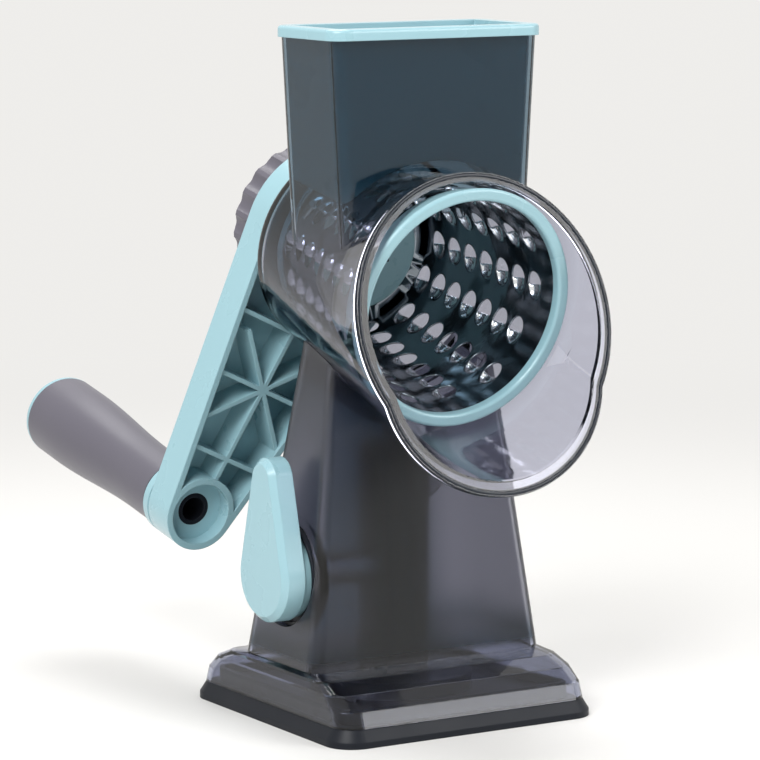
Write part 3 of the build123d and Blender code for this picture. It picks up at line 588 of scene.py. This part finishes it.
def drum_mesh(drum):
    """The drum's sheet: rows of blade cells, plain ends and the rear flange."""
    mesh = bmesh.new()
    for row in range(drum.rows):
        angle = drum.row_angle + row * 2 * math.pi / drum.rows
        shift = drum.stagger * (row % 2)
        low = drum.first + shift - drum.pitch / 2
        sheet_strip(mesh, drum, angle, drum.start, low)
        for place in range(drum.places):
            s = drum.first + shift + drum.pitch * place
            blade_cell(mesh, drum, angle, s)
        high = drum.first + shift + drum.pitch * (drum.places - 0.5)
        if high < drum.end:
            sheet_strip(mesh, drum, angle, high, drum.end)
        for step in range(ACROSS_STEPS):
            left = angle + (2 * step / ACROSS_STEPS - 1) * math.pi / drum.rows
            right = left + 2 * math.pi / drum.rows / ACROSS_STEPS
            inner = drum.bore - (drum.front_radius - drum.taper * (drum.end - drum.start))
            corners = [(left, 0.0), (right, 0.0), (right, inner), (left, inner)]
            mesh.faces.new([mesh.verts.new(drum_point(drum, turn, drum.end, lift)) for turn, lift in corners])
    bmesh.ops.remove_doubles(mesh, verts=mesh.verts, dist=0.00002)
    for face in mesh.faces:
        face.smooth = True
        outward = face.calc_center_median() - RING_CENTRE
        outward -= TO_REAR * outward.dot(TO_REAR)
        if face.normal.dot(outward + TO_REAR * 0.001) < 0:
            face.normal_flip()
    data = bpy.data.meshes.new("drum_sheet")
    mesh.to_mesh(data)
    mesh.free()
    return data


def rim_bead_mesh(mouth, middle, upward, outward):
    """Rolled edge of the mouth: a round bead along a circle joined to an oval below it."""
    mesh = bmesh.new()
    sunk = mouth.bead - mouth.proud
    oval_drop = mouth.oval_drop / mouth.oval_height
    rings = []
    for turn in range(mouth.turns):
        angle = 2 * math.pi * turn / mouth.turns
        across, up = math.cos(angle), math.sin(angle)
        square = (across / mouth.oval_width) ** 2 + (up / mouth.oval_height) ** 2
        half = up * oval_drop / mouth.oval_height
        oval_reach = (-half + math.sqrt(half * half - square * (oval_drop**2 - 1))) / square
        direction = Vector((1, 0, 0)) * across + upward * up
        centre = middle + direction * (max(mouth.round_radius, oval_reach) - sunk) - outward * sunk
        ring = []
        for side in range(mouth.sides):
            lean = 2 * math.pi * side / mouth.sides
            offset = direction * math.cos(lean) + outward * math.sin(lean)
            ring.append(mesh.verts.new(centre + offset * mouth.bead))
        rings.append(ring)
    for turn in range(mouth.turns):
        near, far = rings[turn - 1], rings[turn]
        for side in range(mouth.sides):
            face = mesh.faces.new((near[side - 1], near[side], far[side], far[side - 1]))
            face.smooth = True
    bmesh.ops.recalc_face_normals(mesh, faces=mesh.faces)
    data = bpy.data.meshes.new("rim_bead")
    mesh.to_mesh(data)
    mesh.free()
    return data


# ----------------------------------------------------------------- operators


class SHREDDER_OT_clear_mouldings(Operator):
    """Smoked clear finish of the barrel with its hopper, and the frosted column"""

    bl_idname = "shredder.clear_mouldings"
    bl_label = "Clear mouldings"

    def execute(self, context):
        scene = context.scene
        self.finish_housing(scene.shredder_colours, scene.shredder_tints)
        self.make_rim_bead(scene.shredder_colours, scene.shredder_mouth)
        self.finish_stand(scene.shredder_colours, scene.shredder_tints)
        return {"FINISHED"}

    @staticmethod
    def finish_housing(colours, tints):
        """Clear collar, greyer barrel and a hopper darkened by painted shade of the pusher seen through it,
        in one moulding.
        """
        barrel = band(TO_REAR, TO_REAR.dot(RING_CENTRE) + tints.barrel_start, tints.barrel_fade)
        hopper = band((0.0, tints.hopper_lean, 1.0), tints.hopper_level, tints.hopper_fade)
        # The hopper's layer is painted shade of the pusher seen through its walls.
        layers = [(barrel, colours.smoke_barrel), (hopper, colours.hopper_painted_shade)]
        material, _, _ = clear_plastic("smoked housing", colours.smoke, layers)
        finish_node("housing_shell", material)

    @staticmethod
    def make_rim_bead(colours, mouth):
        """Rolled edge of the mouth, painted near black: painted shade standing for the dark look of a thick
        clear edge.
        """
        facing = (UP_ACROSS * mouth.lean - TO_REAR).normalized()
        upward = facing.cross(Vector((1, 0, 0)))
        middle = RING_CENTRE - TO_REAR * mouth.setback + upward * mouth.rise
        bead = rim_bead_mesh(mouth, middle, upward, facing)
        # Near black painted shade for the bead's thick clear edge.
        edge = moulded_plastic(
            "rim bead painted shade", colours.bead_painted_shade, 0.1, haze=0.02, rounding=0.0, specular=0.3
        )
        new_piece("rim_bead", bead, "stand", edge)

    @staticmethod
    def finish_stand(colours, tints):
        """Clear skirt under a frosted column, with painted shade: a dark stripe down the column's middle and
        a dark band at its foot.
        """
        column = band((0.0, 0.0, 1.0), tints.column_level, tints.column_fade)
        right_of = band((1.0, 0.0, 0.0), -tints.stripe_left, tints.stripe_left_fade)
        left_of = band((-1.0, 0.0, 0.0), -tints.stripe_right, tints.stripe_right_fade)
        low = band((0.0, 0.0, -1.0), -tints.low_level, tints.low_fade)
        # Painted shade: the stripe down the middle and the band at the foot of the column.
        layers = [
            (column, colours.column),
            (shared(column, shared(right_of, left_of)), colours.column_painted_shade),
            (shared(column, low), colours.column_painted_shade),
        ]
        material, shader, surface = clear_plastic("smoked stand", colours.smoke_skirt, layers, haze=0.02)
        frost = material.node_tree.nodes.new("ShaderNodeMath")
        frost.operation = "MULTIPLY_ADD"
        frost.inputs[1].default_value = tints.frost
        material.node_tree.links.new(column(material), frost.inputs[0])
        material.node_tree.links.new(surface.outputs["Roughness"], frost.inputs[2])
        material.node_tree.links.new(frost.outputs[0], shader.inputs["Roughness"])
        finish_node("stand_shell", material)


class SHREDDER_OT_drum(Operator):
    """Steel drum with spoon-shaped blades"""

    bl_idname = "shredder.drum"
    bl_label = "Bladed drum"

    def execute(self, context):
        drum = context.scene.shredder_drum
        colours = context.scene.shredder_colours
        # The sheet is a dark shaded copy and the spoons a bright lit copy of the same steel: painted shade
        # and painted highlight.
        sheet = bright_metal("sheet steel painted shade", colours.sheet, 0.10)
        piece = new_piece("drum_sheet", drum_mesh(drum), "drive", sheet)
        piece.data.materials.append(bright_metal("bright steel", colours.steel, 0.07))
        thicken = piece.modifiers.new("sheet", "SOLIDIFY")
        thicken.thickness = drum.sheet
        thicken.offset = -1.0
        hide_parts("drum_cone")
        return {"FINISHED"}


class SHREDDER_OT_teal_mouldings(Operator):
    """Teal ring, hub, spindle, crank, cap, pusher and lever"""

    bl_idname = "shredder.teal_mouldings"
    bl_label = "Teal mouldings"

    def execute(self, context):
        teal = moulded_plastic("teal plastic", context.scene.shredder_colours.teal, 0.24, coat=0.25)
        for name in (
            "drum_ring",
            "drum_hub",
            "drive_spindle",
            "crank_arm",
            "grip_end_cap",
            "food_pusher",
            "lock_lever",
        ):
            finish_node(name, teal)
        return {"FINISHED"}


class SHREDDER_OT_grip_and_knob(Operator):
    """Dark satin grip and fluted knob"""

    bl_idname = "shredder.grip_and_knob"
    bl_label = "Grip and knob"

    def execute(self, context):
        dark = moulded_plastic("dark satin plastic", context.scene.shredder_colours.grip, 0.36, grain=1600.0)
        for name in ("grip_sleeve", "lock_knob"):
            finish_node(name, dark)
        return {"FINISHED"}


class SHREDDER_OT_rubber_foot(Operator):
    """Rubber foot and suction cup"""

    bl_idname = "shredder.rubber_foot"
    bl_label = "Foot and cup"

    def execute(self, context):
        rubber = moulded_plastic(
            "black rubber",
            context.scene.shredder_colours.rubber,
            0.34,
            haze=0.2,
            grain=1400.0,
            rounding=0.0008,
            specular=0.22,
        )
        for name in ("suction_foot", "suction_cup"):
            finish_node(name, rubber)
        return {"FINISHED"}


class SHREDDER_OT_suction_works(Operator):
    """Black tray, bushes and plunger, and the zinc shaft and fasteners"""

    bl_idname = "shredder.suction_works"
    bl_label = "Works and fasteners"

    def execute(self, context):
        black = moulded_plastic("black plastic", context.scene.shredder_colours.black, 0.3, specular=0.2)
        for name in (
            "base_tray",
            "lever_bush",
            "rear_bush",
            "thrust_washer",
            "grip_axle",
            "plunger_stem",
            "knob_stem",
        ):
            finish_node(name, black)
        zinc = bright_metal("zinc plate", (0.55, 0.55, 0.56), 0.28)
        for name in ("cam_shaft", "shaft_clip", "pressure_disc", "grip_retainer", "grip_screw"):
            finish_node(name, zinc)
        return {"FINISHED"}


class SHREDDER_OT_stage(Operator):
    """Pale floor, soft lamps, plain surroundings and the camera"""

    bl_idname = "shredder.stage"
    bl_label = "Stage and camera"

    def execute(self, context):
        stage = context.scene.shredder_stage
        scene = context.scene
        scene.view_settings.view_transform = "Standard"
        self.make_floor(stage)
        self.make_world(scene, stage)
        aim = Vector((0.0, 0.0, 0.15))
        self.make_lamp("key", Vector((-1.1, -0.7, 1.2)), aim, 0.9, stage.key_power)
        self.make_lamp("fill", Vector((1.0, -1.0, 0.8)), aim, 0.9, stage.fill_power)
        self.make_lamp("top", Vector((0.1, 0.5, 1.3)), aim, 0.8, stage.top_power)
        camera = bpy.data.objects.new("camera", bpy.data.cameras.new("camera"))
        camera.data.sensor_width = 36
        camera.data.lens = stage.lens
        camera.location = stage.camera
        camera.rotation_mode = "QUATERNION"
        camera.rotation_quaternion = Vector(stage.forward).to_track_quat("-Z", "Y")
        scene.collection.objects.link(camera)
        scene.camera = camera
        return {"FINISHED"}

    @staticmethod
    def make_lamp(name, place, aim, size, power):
        """A square softbox that looks at the object."""
        light = bpy.data.lights.new(name, "AREA")
        light.size = size
        light.energy = power
        lamp = bpy.data.objects.new(name, light)
        lamp.location = place
        lamp.rotation_mode = "QUATERNION"
        lamp.rotation_quaternion = (aim - place).to_track_quat("-Z", "Y")
        bpy.context.scene.collection.objects.link(lamp)

    @staticmethod
    def seen_directly(tree):
        """1 for rays that reach the eye straight, by a mirror or through glass."""
        path = tree.nodes.new("ShaderNodeLightPath")
        first = tree.nodes.new("ShaderNodeMath")
        first.operation = "MAXIMUM"
        tree.links.new(path.outputs["Is Camera Ray"], first.inputs[0])
        tree.links.new(path.outputs["Is Glossy Ray"], first.inputs[1])
        second = tree.nodes.new("ShaderNodeMath")
        second.operation = "MAXIMUM"
        tree.links.new(first.outputs[0], second.inputs[0])
        tree.links.new(path.outputs["Is Transmission Ray"], second.inputs[1])
        return second.outputs[0]

    def make_floor(self, stage):
        """Pale floor that fades into the surroundings away from the object."""
        mesh = bmesh.new()
        bmesh.ops.create_grid(mesh, x_segments=8, y_segments=8, size=6.0)
        data = bpy.data.meshes.new("floor")
        mesh.to_mesh(data)
        mesh.free()
        floor = bpy.data.objects.new("floor", data)
        bpy.context.scene.collection.objects.link(floor)
        material, shader = new_material("pale floor")
        tree = material.node_tree
        shader.inputs["Base Color"].default_value = (*stage.floor, 1)
        shader.inputs["Roughness"].default_value = 0.6
        glow = tree.nodes.new("ShaderNodeEmission")
        glow.inputs["Color"].default_value = (*stage.backdrop, 1)
        where = tree.nodes.new("ShaderNodeTexCoord")
        distance = tree.nodes.new("ShaderNodeVectorMath")
        distance.operation = "LENGTH"
        tree.links.new(where.outputs["Object"], distance.inputs[0])
        far = tree.nodes.new("ShaderNodeMapRange")
        far.interpolation_type = "SMOOTHSTEP"
        far.inputs["From Min"].default_value = 0.25
        far.inputs["From Max"].default_value = 1.1
        tree.links.new(distance.outputs["Value"], far.inputs["Value"])
        fade = tree.nodes.new("ShaderNodeMath")
        fade.operation = "MULTIPLY"
        tree.links.new(far.outputs["Result"], fade.inputs[0])
        tree.links.new(self.seen_directly(tree), fade.inputs[1])
        mix = tree.nodes.new("ShaderNodeMixShader")
        tree.links.new(fade.outputs[0], mix.inputs["Fac"])
        tree.links.new(shader.outputs["BSDF"], mix.inputs[1])
        tree.links.new(glow.outputs["Emission"], mix.inputs[2])
        tree.links.new(mix.outputs["Shader"], tree.nodes["Material Output"].inputs["Surface"])
        data.materials.append(material)

    def make_world(self, scene, stage):
        """Even grey light, with the plain backdrop where it is seen."""
        world = bpy.data.worlds.new("studio")
        world.use_nodes = True
        scene.world = world
        tree = world.node_tree
        room = tree.nodes["Background"]
        room.inputs["Color"].default_value = (1.0, 1.0, 1.0, 1)
        room.inputs["Strength"].default_value = stage.ambient
        wall = tree.nodes.new("ShaderNodeBackground")
        wall.inputs["Color"].default_value = (*stage.backdrop, 1)
        mix = tree.nodes.new("ShaderNodeMixShader")
        tree.links.new(self.seen_directly(tree), mix.inputs["Fac"])
        tree.links.new(room.outputs["Background"], mix.inputs[1])
        tree.links.new(wall.outputs["Background"], mix.inputs[2])
        tree.links.new(mix.outputs["Shader"], tree.nodes["World Output"].inputs["Surface"])


class SHREDDER_PT_panel(Panel):
    """Lists the shredder's pieces"""

    bl_idname = "SHREDDER_PT_panel"
    bl_label = "Rotary shredder"
    bl_space_type = "VIEW_3D"
    bl_region_type = "UI"
    bl_category = "Shredder"

    def draw(self, context):
        for operator in OPERATORS:
            self.layout.operator(operator.bl_idname)


OPERATORS = (
    SHREDDER_OT_clear_mouldings,
    SHREDDER_OT_drum,
    SHREDDER_OT_teal_mouldings,
    SHREDDER_OT_grip_and_knob,
    SHREDDER_OT_rubber_foot,
    SHREDDER_OT_suction_works,
    SHREDDER_OT_stage,
)
GROUPS = {
    "shredder_colours": ShredderColours,
    "shredder_drum": ShredderDrum,
    "shredder_mouth": ShredderMouth,
    "shredder_tints": ShredderTints,
    "shredder_stage": ShredderStage,
}


def register():
    for name, group in GROUPS.items():
        bpy.utils.register_class(group)
        setattr(bpy.types.Scene, name, PointerProperty(type=group))
    for cls in (*OPERATORS, SHREDDER_PT_panel):
        bpy.utils.register_class(cls)


def unregister():
    for cls in (SHREDDER_PT_panel, *reversed(OPERATORS)):
        bpy.utils.unregister_class(cls)
    for name, group in reversed(GROUPS.items()):
        delattr(bpy.types.Scene, name)
        bpy.utils.unregister_class(group)


def main():
    """Builds every piece and the stage."""
    register()
    bpy.ops.shredder.clear_mouldings()
    bpy.ops.shredder.drum()
    bpy.ops.shredder.teal_mouldings()
    bpy.ops.shredder.grip_and_knob()
    bpy.ops.shredder.rubber_foot()
    bpy.ops.shredder.suction_works()
    bpy.ops.shredder.stage()
    bpy.context.view_layer.update()


if __name__ == "__main__":
    main()
